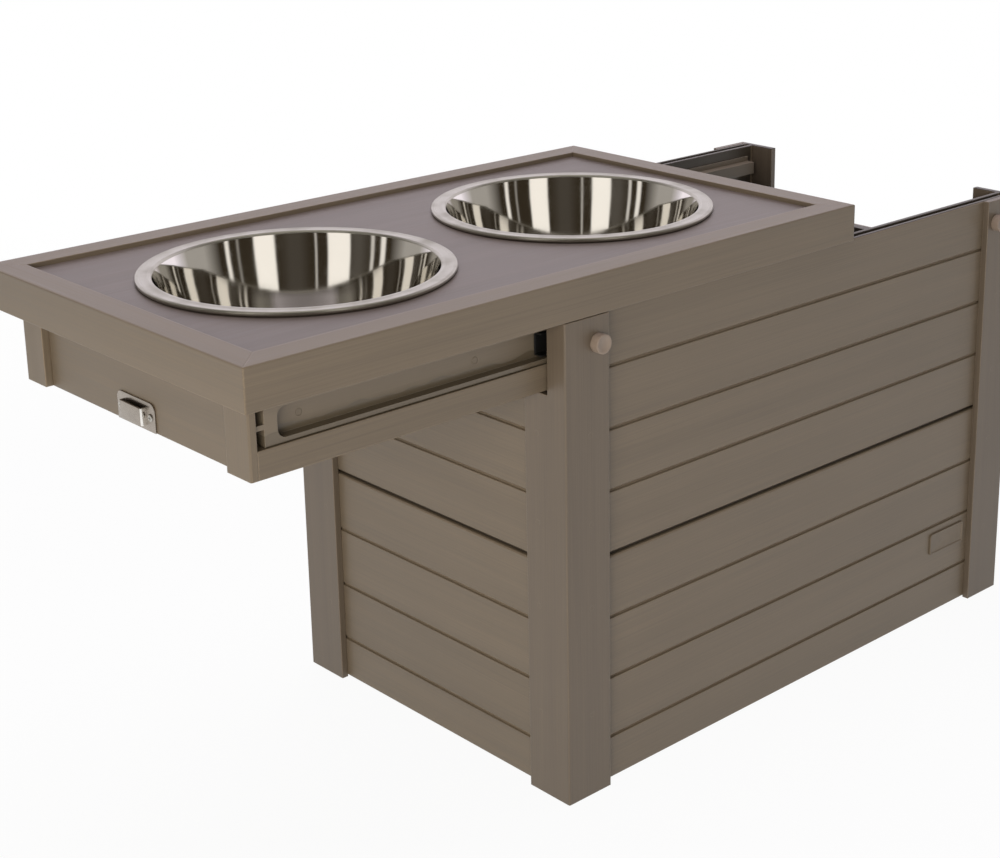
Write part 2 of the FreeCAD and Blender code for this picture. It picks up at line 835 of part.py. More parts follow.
nodes = {
    "post_front_right": front_right_post,
    "post_front_left": mirrored(front_right_post),
    "post_back_right": back_right_post,
    "post_back_left": mirrored(back_right_post),
    "right_panel_lower": side_lower,
    "right_panel_upper": side_upper,
    "left_panel_lower": mirrored(side_lower),
    "left_panel_upper": mirrored(side_upper),
    "front_panel_lower": front_lower,
    "front_panel_upper": front_upper,
    "back_panel_lower": to_back(front_lower),
    "back_panel_upper": to_back(end_upper),
    "floor_board": floor_board(),
    "floor_cleat_right": right_cleat,
    "floor_cleat_left": mirrored(right_cleat),
    "floor_cleat_front": end_cleat,
    "floor_cleat_back": to_back(end_cleat),
    "panel_screws": Part.makeCompound([screw(s, d, panel_screw_length) for s, d in panel_sites]),
    "cleat_screws": Part.makeCompound([screw(s, d, cleat_screw_length) for s, d in cleat_sites]),
    "slide_rail_right": slide_rail(),
    "slide_rail_left": mirrored(slide_rail()),
    "cap_bolts": Part.makeCompound(cap_bolts + [mirrored(bolt) for bolt in cap_bolts]),
    "latch_base": latch_base(),
    "latch_screws": Part.makeCompound([small_screw(s, d) for s, d in latch_screw_seats()]),
    "latch_bolt": latch_bolt(),
    "blank_plate": blank_plate(),
    "ball_cage_right": ball_cage(),
    "ball_cage_left": mirrored(ball_cage()),
    "slide_balls_right": slide_balls(),
    "slide_balls_left": mirrored(slide_balls()),
    "tray_rail_front": front_tray_rail(),
    "tray_rail_back": back_tray_rail(),
    "tray_rail_right": right_tray_rail(),
    "tray_rail_left": mirrored(right_tray_rail()),
    "tray_deck": deck,
    "drawer_front": drawer_front_board(),
    "corner_block_right": corner_block(),
    "corner_block_left": mirrored(corner_block()),
    "drawer_side_right": drawer_side(),
    "drawer_side_left": mirrored(drawer_side()),
    "drawer_back": drawer_back_board(),
    "slide_channel_right": slide_channel(),
    "slide_channel_left": mirrored(slide_channel()),
    "slide_screws": Part.makeCompound(slide_screws + [mirrored(s) for s in slide_screws]),
    "deck_brackets": Part.makeCompound(brackets + [mirrored(b) for b in brackets]),
    "bracket_screws": Part.makeCompound(bracket_screws + [mirrored(s) for s in bracket_screws]),
    "latch_keeper": latch_keeper(),
    "keeper_screws": Part.makeCompound([small_screw(s, d) for s, d in keeper_screw_seats()]),
    "front_bowl": bowl(bowl_centres[0]),
    "back_bowl": bowl(bowl_centres[1]),
}

os.makedirs("parts", exist_ok=True)
for name, shape in nodes.items():
    shape.exportStep("parts/" + name + ".step")
print(len(nodes), "nodes,", sum(len(shape.Solids) for shape in nodes.values()), "solids")
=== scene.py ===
import math

import bpy
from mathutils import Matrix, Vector


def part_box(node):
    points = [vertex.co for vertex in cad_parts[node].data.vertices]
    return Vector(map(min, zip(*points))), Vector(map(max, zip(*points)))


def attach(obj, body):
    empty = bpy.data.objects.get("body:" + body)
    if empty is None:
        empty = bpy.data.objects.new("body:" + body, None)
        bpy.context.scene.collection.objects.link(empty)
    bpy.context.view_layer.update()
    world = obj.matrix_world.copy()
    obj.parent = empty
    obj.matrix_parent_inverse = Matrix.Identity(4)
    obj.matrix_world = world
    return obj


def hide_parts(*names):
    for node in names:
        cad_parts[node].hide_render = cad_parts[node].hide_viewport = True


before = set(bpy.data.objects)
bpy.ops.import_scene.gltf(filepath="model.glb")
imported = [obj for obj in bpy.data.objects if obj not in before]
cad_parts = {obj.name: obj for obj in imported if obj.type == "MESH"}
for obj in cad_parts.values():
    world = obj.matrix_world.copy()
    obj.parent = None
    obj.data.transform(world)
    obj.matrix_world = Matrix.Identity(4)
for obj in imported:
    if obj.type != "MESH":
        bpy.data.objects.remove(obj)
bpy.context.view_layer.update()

mm = 0.001
tolerance = 0.01 * mm
print("frame loaded:", len(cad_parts), "nodes")


# Small helpers for working as in the 3D view

def deselectAll():
    if bpy.context.mode != "OBJECT":
        bpy.ops.object.mode_set(mode="OBJECT")
    bpy.ops.object.select_all(action="DESELECT")


def makeActive(piece):
    deselectAll()
    piece.select_set(True)
    bpy.context.view_layer.objects.active = piece


def nameActive(name):
    piece = bpy.context.active_object
    piece.name = name
    piece.data.name = name
    return piece


def editMode(select="SELECT"):
    bpy.ops.object.mode_set(mode="EDIT")
    bpy.ops.mesh.select_all(action=select)


def objectMode():
    bpy.ops.object.mode_set(mode="OBJECT")


def pickFaces(piece, wanted):
    # selects the faces whose centre and normal pass the test, then goes back to edit mode
    objectMode()
    for vert in piece.data.vertices:
        vert.select = False
    for edge in piece.data.edges:
        edge.select = False
    for face in piece.data.polygons:
        face.select = wanted(face.center, face.normal)
    bpy.ops.object.mode_set(mode="EDIT")
    bpy.ops.mesh.select_mode(type="FACE")


def pickEdges(piece, wanted):
    objectMode()
    points = [vert.co.copy() for vert in piece.data.vertices]
    for face in piece.data.polygons:
        face.select = False
    for vert in piece.data.vertices:
        vert.select = False
    for edge in piece.data.edges:
        edge.select = wanted(points[edge.vertices[0]], points[edge.vertices[1]])
    bpy.ops.object.mode_set(mode="EDIT")
    bpy.ops.mesh.select_mode(type="EDGE")


def applyPlace(piece):
    makeActive(piece)
    bpy.ops.object.transform_apply(location=True, rotation=True, scale=True)


def softEdges(piece, width, segments=3, angle=40):
    makeActive(piece)
    bevel = piece.modifiers.new("soft edges", "BEVEL")
    bevel.width = width
    bevel.segments = segments
    bevel.limit_method = "ANGLE"
    bevel.angle_limit = math.radians(angle)
    bpy.ops.object.modifier_apply(modifier=bevel.name)
    bpy.ops.object.shade_smooth_by_angle(angle=math.radians(angle))


def outwardNormals(piece):
    makeActive(piece)
    editMode()
    bpy.ops.mesh.remove_doubles(threshold=0.000002)
    bpy.ops.mesh.normals_make_consistent(inside=False)
    objectMode()


def addBlock(name, low, high):
    deselectAll()
    middle = (Vector(low) + Vector(high)) / 2
    size = Vector(high) - Vector(low)
    bpy.ops.mesh.primitive_cube_add(size=1, location=middle)
    piece = nameActive(name)
    piece.scale = size
    applyPlace(piece)
    return piece


def joinInto(name, group):
    deselectAll()
    for piece in group:
        piece.select_set(True)
    bpy.context.view_layer.objects.active = group[0]
    if len(group) > 1:
        bpy.ops.object.join()
    return nameActive(name)


def cutAway(piece, cutter):
    makeActive(piece)
    cut = piece.modifiers.new("cut", "BOOLEAN")
    cut.operation = "DIFFERENCE"
    cut.solver = "EXACT"
    cut.object = cutter
    bpy.ops.object.modifier_apply(modifier=cut.name)
    bpy.data.objects.remove(cutter, do_unlink=True)


def copyAt(piece, name, shift):
    twin = piece.copy()
    twin.data = piece.data.copy()
    twin.name = name
    twin.data.name = name
    bpy.context.collection.objects.link(twin)
    twin.location = shift
    applyPlace(twin)
    return twin


# Finishes

def colour(red, green, blue):
    # 0 to 255 as seen on screen, to the linear values that the shader takes
    def linear(value):
        share = value / 255
        return share / 12.92 if share <= 0.04045 else ((share + 0.055) / 1.055) ** 2.4
    return (linear(red), linear(green), linear(blue), 1)


def toned(tint, share, lift=0):
    # the same colour darker or lighter
    return tuple(min(channel * share + lift, 1) for channel in tint[:3]) + (1,)


def newFinish(name):
    finish = bpy.data.materials.new(name)
    finish.use_nodes = True
    return finish, finish.node_tree, finish.node_tree.nodes["Principled BSDF"]


def addNode(tree, kind, sockets=None, **settings):
    # sockets take another node's output or a fixed value, settings are the node's own
    node = tree.nodes.new(kind)
    for key, value in settings.items():
        setattr(node, key, value)
    for socket, source in (sockets or {}).items():
        if hasattr(source, "is_output"):
            tree.links.new(source, node.inputs[socket])
        else:
            node.inputs[socket].default_value = source
    return node


def stretchedNoise(tree, place, scale, detail=4, rough=0.6, shift=(0, 0, 0)):
    mapping = addNode(tree, "ShaderNodeMapping", {"Vector": place, "Scale": scale, "Location": shift})
    noise = addNode(tree, "ShaderNodeTexNoise",
                    {"Vector": mapping.outputs[0], "Scale": 1, "Detail": detail, "Roughness": rough})
    return noise.outputs["Fac"]


def remap(tree, value, low, high, newLow, newHigh):
    sockets = {"Value": value, "From Min": low, "From Max": high, "To Min": newLow, "To Max": newHigh}
    return addNode(tree, "ShaderNodeMapRange", sockets).outputs[0]


def mathNode(tree, operation, first, second):
    return addNode(tree, "ShaderNodeMath", {0: first, 1: second}, operation=operation).outputs[0]


def mixColours(tree, factor, first, second):
    node = addNode(tree, "ShaderNodeMix", {"Factor": factor}, data_type="RGBA")
    for socket, source in ((6, first), (7, second)):
        if hasattr(source, "is_output"):
            tree.links.new(source, node.inputs[socket])
        else:
            node.inputs[socket].default_value = source
    return node.outputs[2]


def edgeMask(tree, radius):
    # a normal rounded over the edges, and a mask that is 1 on the edges and 0 on the flats
    soft = addNode(tree, "ShaderNodeBevel", {"Radius": radius}, samples=6)
    true = addNode(tree, "ShaderNodeNewGeometry")
    turn = addNode(tree, "ShaderNodeVectorMath", {0: soft.outputs[0], 1: true.outputs["Normal"]},
                   operation="DOT_PRODUCT")
    return soft.outputs[0], remap(tree, turn.outputs["Value"], 0.999, 0.86, 0, 1)


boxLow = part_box("post_front_right")[0]
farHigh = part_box("post_back_left")[1]
postWall = 5.5 * mm
# the box's inside: shade and streakShade darken the faces that look into it, as painted shade
inside = {
    "middle": (boxLow.x + farHigh.x) / 2,
    "halfLength": (farHigh.x - boxLow.x) / 2,
    "halfWidth": farHigh.y,
    "panelTop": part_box("right_panel_upper")[1].z - 0.4 * mm,
    "topEdgeIn": postWall + 0.6 * mm,
    "shade": 0.42,
    "streakShade": 0.6,
}


def insideMask(tree, place, depth):
    # 1 on faces more than depth in from the box's outside, such as those that look into the box, and on the
    # panels' top edges; used for painted shade and for the grooves' painted light
    parts = addNode(tree, "ShaderNodeSeparateXYZ", {0: place})
    along = mathNode(tree, "ABSOLUTE", mathNode(tree, "SUBTRACT", parts.outputs["X"], inside["middle"]), 0)
    across = mathNode(tree, "ABSOLUTE", parts.outputs["Y"], 0)
    short = mathNode(tree, "LESS_THAN", along, inside["halfLength"] - depth)
    narrow = mathNode(tree, "LESS_THAN", across, inside["halfWidth"] - depth)
    top = mathNode(tree, "GREATER_THAN", parts.outputs["Z"], inside["panelTop"])
    inward = mathNode(tree, "LESS_THAN", across, inside["halfWidth"] - inside["topEdgeIn"])
    panelTopEdge = mathNode(tree, "MULTIPLY", top, inward)
    return mathNode(tree, "MAXIMUM", mathNode(tree, "MULTIPLY", short, narrow), panelTopEdge)


boardLook = {
    "streakWidth": 0.9 * mm,
    "streakLength": 130 * mm,
    "bandWidth": 17 * mm,
    "bandLength": 620 * mm,
    "cloudScale": (9, 9, 9),
    "edgeRadius": 1.3 * mm,
    "darker": 0.74,
    "lighter": 1.18,
    "streakTone": (0.22, 0.78),
    "bandTone": 0.13,
    "cloudTone": 0.05,
    "scuffs": 0.22,
    # the next two lighten the edges as a painted highlight
    "paleEdges": 0.5,
    "edgeHighlightTone": 2.1,
    # lightens the grooves as painted light, offsetting their shade
    "grooveLiftTone": 1.2,
    "grooveDepth": 0.3 * mm,
    "roughLow": 0.36,
    "roughHigh": 0.52,
    "streakBump": 0.16,
    "streakDepth": 0.25 * mm,
    "hairBump": 0.6,
}
noiseLow, noiseHigh = 0.30, 0.70    # nearly all of a noise lies between these
lengthways, crossways, upright = 0, 1, 2    # the axis that streaks or lines run along


def grainScale(axis, width, length):
    return tuple(1 / length if i == axis else 1 / width for i in range(3))


def boardFinish(name, tint, axis, shadeDepth=0, edgeHighlightShare=1, faceDepth=0):
    # brushed wood-plastic with its streaks along one axis
    # the first depth is how far in from the box's outside its faces get painted shade, 0 for a board that
    # isn't of the box
    # faceDepth is how far in the face of a grooved panel lies, whose grooves get a paler tone as painted
    # light
    # the share after the first depth scales the painted highlight on the edges
    look = boardLook
    finish, tree, shader = newFinish(name)
    place = addNode(tree, "ShaderNodeTexCoord").outputs["Object"]
    width, length = look["streakWidth"], look["streakLength"]
    streaks = stretchedNoise(tree, place, grainScale(axis, width, length), 5, 0.65)
    hairs = stretchedNoise(tree, place, grainScale(axis, width / 3, length / 2), 3, 0.7)
    bandScale = grainScale(axis, look["bandWidth"], look["bandLength"])
    bands = stretchedNoise(tree, place, bandScale, 2, 0.5, (3, 7, 1))
    cloud = stretchedNoise(tree, place, look["cloudScale"], 2, 0.5)
    softNormal, edges = edgeMask(tree, look["edgeRadius"])

    dark = toned(tint, look["darker"])
    light = toned(tint, look["lighter"])
    streakTone = remap(tree, streaks, noiseLow, noiseHigh, *look["streakTone"])
    bandTone = remap(tree, bands, noiseLow, noiseHigh, -look["bandTone"], look["bandTone"])
    cloudTone = remap(tree, cloud, noiseLow, noiseHigh, -look["cloudTone"], look["cloudTone"])
    tone = mathNode(tree, "ADD", mathNode(tree, "ADD", streakTone, bandTone), cloudTone)
    body = mixColours(tree, tone, dark, light)
    # only the highest hairs show as scuffs
    body = mixColours(tree, remap(tree, hairs, 0.66, 0.80, 0, look["scuffs"]), body, light)
    # painted highlight: the edges are lightened, more where the streaks run high
    edgeHighlightMost = look["paleEdges"] * edgeHighlightShare
    paleEdges = mathNode(tree, "MULTIPLY", edges, remap(tree, streaks, 0.35, 0.65, edgeHighlightMost * 0.5, edgeHighlightMost))
    body = mixColours(tree, paleEdges, body, toned(tint, look["edgeHighlightTone"]))
    # painted light: the grooves get a paler tone that offsets their shade
    if faceDepth:
        paintedGrooveLight = insideMask(tree, place, faceDepth + look["grooveDepth"])
        body = mixColours(tree, paintedGrooveLight, body, toned(tint, look["grooveLiftTone"]))
    # painted shade: faces deep inside the box and in the seam get a much darker streaked tone, and the
    # panels' top edges are darkened the same way
    if shadeDepth:
        paintedShade = toned(tint, inside["shade"])
        shadedStreaks = mixColours(tree, streaks, toned(paintedShade, inside["streakShade"]), paintedShade)
        body = mixColours(tree, insideMask(tree, place, shadeDepth), body, shadedStreaks)
    tree.links.new(body, shader.inputs["Base Color"])

    rough = remap(tree, streaks, noiseLow, noiseHigh, look["roughLow"], look["roughHigh"])
    tree.links.new(rough, shader.inputs["Roughness"])
    height = mathNode(tree, "ADD", streaks, mathNode(tree, "MULTIPLY", hairs, look["hairBump"]))
    bump = addNode(tree, "ShaderNodeBump", {"Strength": look["streakBump"], "Distance": look["streakDepth"],
                                            "Height": height, "Normal": softNormal})
    tree.links.new(bump.outputs[0], shader.inputs["Normal"])
    return finish


metalLook = {
    "edgeRadius": 0.35 * mm,
    "paleEdges": 0.5,
    "rubbed": colour(236, 234, 229),
    "spotScale": (210, 210, 210),
    "lines": (lengthways, 0.5 * mm, 6 * mm),
    "scratchDepth": 0.05 * mm,
}


def metalFinish(name, tint, rough, lines=None, mottled=0.10, scratch=0.05):
    # bare metal: mottled tone, fine lines along lines = (axis, width, length), faint scratches
    finish, tree, shader = newFinish(name)
    place = addNode(tree, "ShaderNodeTexCoord").outputs["Object"]
    spots = stretchedNoise(tree, place, metalLook["spotScale"], 4, 0.6)
    brushed = stretchedNoise(tree, place, grainScale(*(lines or metalLook["lines"])), 4, 0.65)
    softNormal, edges = edgeMask(tree, metalLook["edgeRadius"])
    dark = toned(tint, 1 - 2 * mottled)
    body = mixColours(tree, remap(tree, spots, 0.35, 0.65, 0, 1), dark, tint)
    rubbed = mathNode(tree, "MULTIPLY", edges, metalLook["paleEdges"])
    body = mixColours(tree, rubbed, body, metalLook["rubbed"])
    tree.links.new(body, shader.inputs["Base Color"])
    shader.inputs["Metallic"].default_value = 1
    mist = remap(tree, brushed, noiseLow, noiseHigh, rough * 0.75, rough * 1.3)
    tree.links.new(mist, shader.inputs["Roughness"])
    bump = addNode(tree, "ShaderNodeBump", {"Strength": scratch, "Distance": metalLook["scratchDepth"],
                                            "Height": brushed, "Normal": softNormal})
    tree.links.new(bump.outputs[0], shader.inputs["Normal"])
    return finish


plasticLook = {
    "grain": 0.5 * mm,
    "grainDepth": 0.08 * mm,
    "bump": 0.12,
    "cloudScale": (70, 70, 70),
    "edgeRadius": 0.6 * mm,
    "darker": 0.86,
    "paleEdges": 0.3,
}


def plasticFinish(name, tint, rough):
    # moulded plastic with a fine spark-eroded grain and paler rubbed corners
    look = plasticLook
    finish, tree, shader = newFinish(name)
    place = addNode(tree, "ShaderNodeTexCoord").outputs["Object"]
    pebbles = stretchedNoise(tree, place, (1 / look["grain"],) * 3, 3, 0.6)
    cloud = stretchedNoise(tree, place, look["cloudScale"], 3, 0.6)
    softNormal, edges = edgeMask(tree, look["edgeRadius"])
    body = mixColours(tree, remap(tree, cloud, 0.35, 0.65, 0, 1), toned(tint, look["darker"]), tint)
    pale = toned(tint, 1.5, 0.01)
    body = mixColours(tree, mathNode(tree, "MULTIPLY", edges, look["paleEdges"]), body, pale)
    tree.links.new(body, shader.inputs["Base Color"])
    mist = remap(tree, pebbles, noiseLow, noiseHigh, rough * 0.85, rough * 1.15)
    tree.links.new(mist, shader.inputs["Roughness"])
    bump = addNode(tree, "ShaderNodeBump", {"Strength": look["bump"], "Distance": look["grainDepth"],
                                            "Height": pebbles, "Normal": softNormal})
    tree.links.new(bump.outputs[0], shader.inputs["Normal"])
    return finish


greaseLook = {
    "tint": colour(122, 110, 94),
    "rubbed": colour(170, 160, 146),
    "smear": colour(96, 86, 71),
    "smearMost": 0.8,
    "wave": 1 / (30 * mm),
    "reach": 4.5 * mm,
    "fade": 0.7 * mm,
    "rolledWidth": 0.8 * mm,
    "rolledLength": 90 * mm,
    "rolledDepth": 0.1 * mm,
    "edgeRadius": 0.5 * mm,
    "paleEdges": 0.35,
    "roughDry": 0.46,
    "roughWet": 0.24,
}


def slideFinish(name, level):
    # painted slide steel with a dark greasy smear up to a wavy line near the given height
    finish, tree, shader = newFinish(name)
    place = addNode(tree, "ShaderNodeTexCoord").outputs["Object"]
    parts = addNode(tree, "ShaderNodeSeparateXYZ", {0: place})
    rolledScale = grainScale(lengthways, greaseLook["rolledWidth"], greaseLook["rolledLength"])
    rolled = stretchedNoise(tree, place, rolledScale, 4, 0.6)
    waves = stretchedNoise(tree, place, (greaseLook["wave"], 0, 0), 1, 0.4)
    softNormal, edges = edgeMask(tree, greaseLook["edgeRadius"])
    reach, fade, most = greaseLook["reach"], greaseLook["fade"], greaseLook["smearMost"]
    shore = remap(tree, waves, noiseLow, noiseHigh, level - reach / 2, level + reach / 2)
    above = mathNode(tree, "SUBTRACT", parts.outputs["Z"], shore)
    wet = remap(tree, above, fade, -fade, 0, most)
    body = mixColours(tree, rolled, toned(greaseLook["tint"], 0.82), greaseLook["tint"])
    body = mixColours(tree, wet, body, greaseLook["smear"])
    rubbed = mathNode(tree, "MULTIPLY", edges, greaseLook["paleEdges"])
    body = mixColours(tree, rubbed, body, greaseLook["rubbed"])
    tree.links.new(body, shader.inputs["Base Color"])
    mist = remap(tree, wet, 0, most, greaseLook["roughDry"], greaseLook["roughWet"])
    tree.links.new(mist, shader.inputs["Roughness"])
    bump = addNode(tree, "ShaderNodeBump", {"Strength": 0.1, "Distance": greaseLook["rolledDepth"],
                                            "Height": rolled, "Normal": softNormal})
    tree.links.new(bump.outputs[0], shader.inputs["Normal"])
    return finish


spunLook = {
    "ringScale": (1400, 1400, 0),
    "ringDepth": 0.02 * mm,
    "smudgeScale": (38, 38, 38),
    "darker": 0.93,
}


def spunSteel(name, centre, tint, rough, ripple):
    # steel turned on a lathe: fine rings round the bowl's own middle
    finish, tree, shader = newFinish(name)
    place = addNode(tree, "ShaderNodeTexCoord").outputs["Object"]
    local = addNode(tree, "ShaderNodeVectorMath", {0: place, 1: (centre[0], centre[1], 0)},
                    operation="SUBTRACT")
    parts = addNode(tree, "ShaderNodeSeparateXYZ", {0: local.outputs[0]})
    flat = addNode(tree, "ShaderNodeCombineXYZ", {"X": parts.outputs["X"], "Y": parts.outputs["Y"]})
    radius = addNode(tree, "ShaderNodeVectorMath", {0: flat.outputs[0]}, operation="LENGTH").outputs["Value"]
    across = addNode(tree, "ShaderNodeCombineXYZ", {"X": radius, "Y": parts.outputs["Z"]})
    rings = stretchedNoise(tree, across.outputs[0], spunLook["ringScale"], 3, 0.7)
    smudge = stretchedNoise(tree, place, spunLook["smudgeScale"], 4, 0.6)
    body = mixColours(tree, smudge, toned(tint, spunLook["darker"]), tint)
    tree.links.new(body, shader.inputs["Base Color"])
    shader.inputs["Metallic"].default_value = 1
    mist = mathNode(tree, "ADD", remap(tree, smudge, 0.45, 0.75, rough * 0.8, rough * 1.5),
                    remap(tree, rings, noiseLow, noiseHigh, 0, rough * 0.4))
    tree.links.new(mist, shader.inputs["Roughness"])
    bump = addNode(tree, "ShaderNodeBump", {"Strength": ripple, "Distance": spunLook["ringDepth"],
                                            "Height": rings})
    tree.links.new(bump.outputs[0], shader.inputs["Normal"])
    return finish


tints = {
    "taupe": colour(114, 101, 84),
    # darker than taupe: painted shade for the posts' weaker sheen
    "post": colour(105, 93, 79),
    "deck": colour(105, 94, 87),
    "inner": colour(104, 94, 82),
    "cap": colour(146, 130, 116),
    "zinc": colour(196, 192, 184),
    "steel": colour(214, 211, 204),
    "latch": colour(168, 159, 149),
    # much lighter than latch: a painted highlight for the loop's side cheeks
    "latchLitCheek": colour(242, 239, 233),
    "slideScrew": colour(116, 104, 88),
    "black": colour(26, 25, 24),
}
# how far in from the box's outside the painted shade starts, on panels and on posts
panelDepth = postWall + 3 * mm
postDepth = postWall + 0.1 * mm
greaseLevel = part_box("slide_channel_right")[0].z + 7.5 * mm
acrossLatch, upLatch = (crossways, 0.25 * mm, 9 * mm), (upright, 0.25 * mm, 9 * mm)
finishes = {
    "sideBoards": boardFinish("side board taupe", tints["taupe"], lengthways, panelDepth, 1, postWall),
    "endBoards": boardFinish("end board taupe", tints["taupe"], crossways, panelDepth, 1, postWall),
    # posts and corner blocks get 1.8 times the painted edge highlight
    "posts": boardFinish("post taupe", tints["post"], upright, postDepth, 1.8),
    "blocks": boardFinish("corner block taupe", tints["taupe"], upright, 0, 1.8),
    "drawerSides": boardFinish("drawer side taupe", tints["taupe"], lengthways),
    "drawerEnds": boardFinish("drawer end taupe", tints["taupe"], crossways),
    "sideRails": boardFinish("tray rail taupe, lengthways", tints["taupe"], lengthways),
    "endRails": boardFinish("tray rail taupe, crossways", tints["taupe"], crossways),
    "deck": boardFinish("deck mauve taupe", tints["deck"], lengthways),
    "floor": boardFinish("floor taupe", tints["inner"], lengthways),
    "cleatsAcross": boardFinish("cleat taupe", tints["inner"], crossways),
    "slide": slideFinish("slide paint and grease", greaseLevel),
    "cage": plasticFinish("cage black", tints["black"], 0.42),
    "balls": metalFinish("ball steel", tints["steel"], 0.08),
    "screws": metalFinish("screw zinc", tints["zinc"], 0.30),
    "slideScrews": plasticFinish("slide screw paint", tints["slideScrew"], 0.46),
    "brackets": metalFinish("bracket zinc", tints["zinc"], 0.34, (lengthways, 0.5 * mm, 9 * mm)),
    "caps": plasticFinish("cap plastic", tints["cap"], 0.45),
    "latch": metalFinish("latch steel", tints["latch"], 0.28, acrossLatch, 0.06, 0.03),
    # painted highlight: a lighter, glossier copy of the latch steel
    "latchLitCheek": metalFinish("latch steel painted highlight", tints["latchLitCheek"], 0.16, upLatch, 0.04, 0.02),
    "plate": plasticFinish("blank plate taupe", tints["taupe"], 0.48),
}
print("finishes made:", len(finishes))


# Which finish each solid of the model wears

def finishFor(node):
    across = node.endswith(("_front", "_back"))
    for start, finish in (("post_", "posts"), ("corner_block", "blocks"), ("drawer_side", "drawerSides"),
                          ("drawer_", "drawerEnds"), ("slide_screws", "slideScrews")):
        if node.startswith(start):
            return finish
    if node.startswith(("right_panel", "left_panel")):
        return "sideBoards"
    if node.startswith(("front_panel", "back_panel")):
        return "endBoards"
    if node.startswith("tray_rail"):
        return "endRails" if across else "sideRails"
    if node.startswith("floor_cleat") and across:
        return "cleatsAcross"
    if node.startswith(("slide_channel", "slide_rail")):
        return "slide"
    kinds = {"tray_deck": "deck", "deck_brackets": "brackets", "cap_bolts": "caps", "blank_plate": "plate"}
    if node in kinds:
        return kinds[node]
    for start, finish in (("floor_", "floor"), ("ball_cage", "cage"), ("slide_balls", "balls")):
        if node.startswith(start):
            return finish
    if node.endswith("_screws"):
        return "screws"
    return "latch"


for node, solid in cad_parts.items():
    solid.data.materials.clear()
    solid.data.materials.append(finishes[finishFor(node)])
print("solids dressed")


# Steel bowls: one closed shell drawn out of a circle, ring by ring

bowl = {
    "rimRadius": 108 * mm,
    "mouthRadius": 96.5 * mm,
    "footRadius": 79.5 * mm,
    "depth": 66 * mm,
    "wall": 0.9 * mm,
    "rimHeight": 3.4 * mm,
    "lipWidth": 3 * mm,
    "rimDip": 0.35 * mm,
    "start": 9.54 * mm,
    "cornerRadius": 14 * mm,
    "mouthRound": 2.2 * mm,
    "floorDome": 0.8 * mm,
    "segments": 192,
    "inside": colour(222, 219, 213),
    "insideRough": 0.055,
    "rim": colour(178, 175, 164),
    "rimRough": 0.32,
    "rimBelow": 6 * mm,
}
slope = math.atan2(bowl["mouthRadius"] - bowl["footRadius"], bowl["depth"])


def arcRings(centre, radius, start, end, steps):
    # points of an arc in the (radius, height) plane, angles in degrees from the outward direction
    rings = []
    for i in range(steps + 1):
        angle = math.radians(start + (end - start) * i / steps)
        rings.append((centre[0] + radius * math.cos(angle), centre[1] + radius * math.sin(angle)))
    return rings


def wallPoint(share, out, top):
    # a point on the wall, share 0 at the foot's level and 1 at the mouth's, moved out by the wall
    bottom = top - bowl["depth"]
    radius = bowl["footRadius"] + (bowl["mouthRadius"] - bowl["footRadius"]) * share
    return radius + out * math.cos(slope), bottom + bowl["depth"] * share - out * math.sin(slope)


def cornerCentre(top, radius):
    # middle of the arc between the flat bottom and the sloping wall
    bottom = top - bowl["depth"]
    run = radius / math.tan((math.pi / 2 + slope) / 2)
    return bowl["footRadius"] - run, bottom + radius


def bowlRings(top):
    turn = math.degrees(slope)
    inner = bowl["cornerRadius"]
    centre = cornerCentre(top, inner)
    wall = bowl["wall"]
    lip = bowl["lipWidth"] / 2
    lipMiddle = (bowl["rimRadius"] - lip, top - lip)
    seat = top - bowl["rimHeight"]
    under = top - wall
    rings = [(bowl["start"], centre[1] - inner - wall)]    # a small circle under the middle
    rings += arcRings(centre, inner + wall, -90, -turn, 12)
    rings += [wallPoint(share, wall, top) for share in (0.35, 0.6, 0.8, 0.94)]
    rings += [(bowl["mouthRadius"] + wall + 0.8 * mm, under), (bowl["rimRadius"] - 2 * lip, under)]
    rings += [(bowl["rimRadius"] - 2 * lip, seat + 0.5 * mm), (bowl["rimRadius"] - 1.5 * lip, seat)]
    rings += arcRings((bowl["rimRadius"] - lip, seat + lip), lip, -90, 0, 6)
    rings += arcRings(lipMiddle, lip, 0, 90, 8)[1:]
    flat = bowl["mouthRadius"] + bowl["mouthRound"]
    for i in range(1, 7):
        share = i / 7
        radius = lipMiddle[0] + (flat - lipMiddle[0]) * share
        rings.append((radius, top - bowl["rimDip"] * math.sin(math.pi * share)))
    rings += arcRings((flat, top - bowl["mouthRound"]), bowl["mouthRound"], 90, 180 - turn, 8)
    rings += [wallPoint(share, 0, top) for share in (0.9, 0.75, 0.6, 0.45, 0.3)]
    rings += arcRings(centre, inner, -turn, -90, 16)
    dome = centre[1] - inner
    for share in (0.75, 0.5, 0.25, 0.08):
        rings.append((centre[0] * share, dome + bowl["floorDome"] * (1 - share * share)))
    return rings


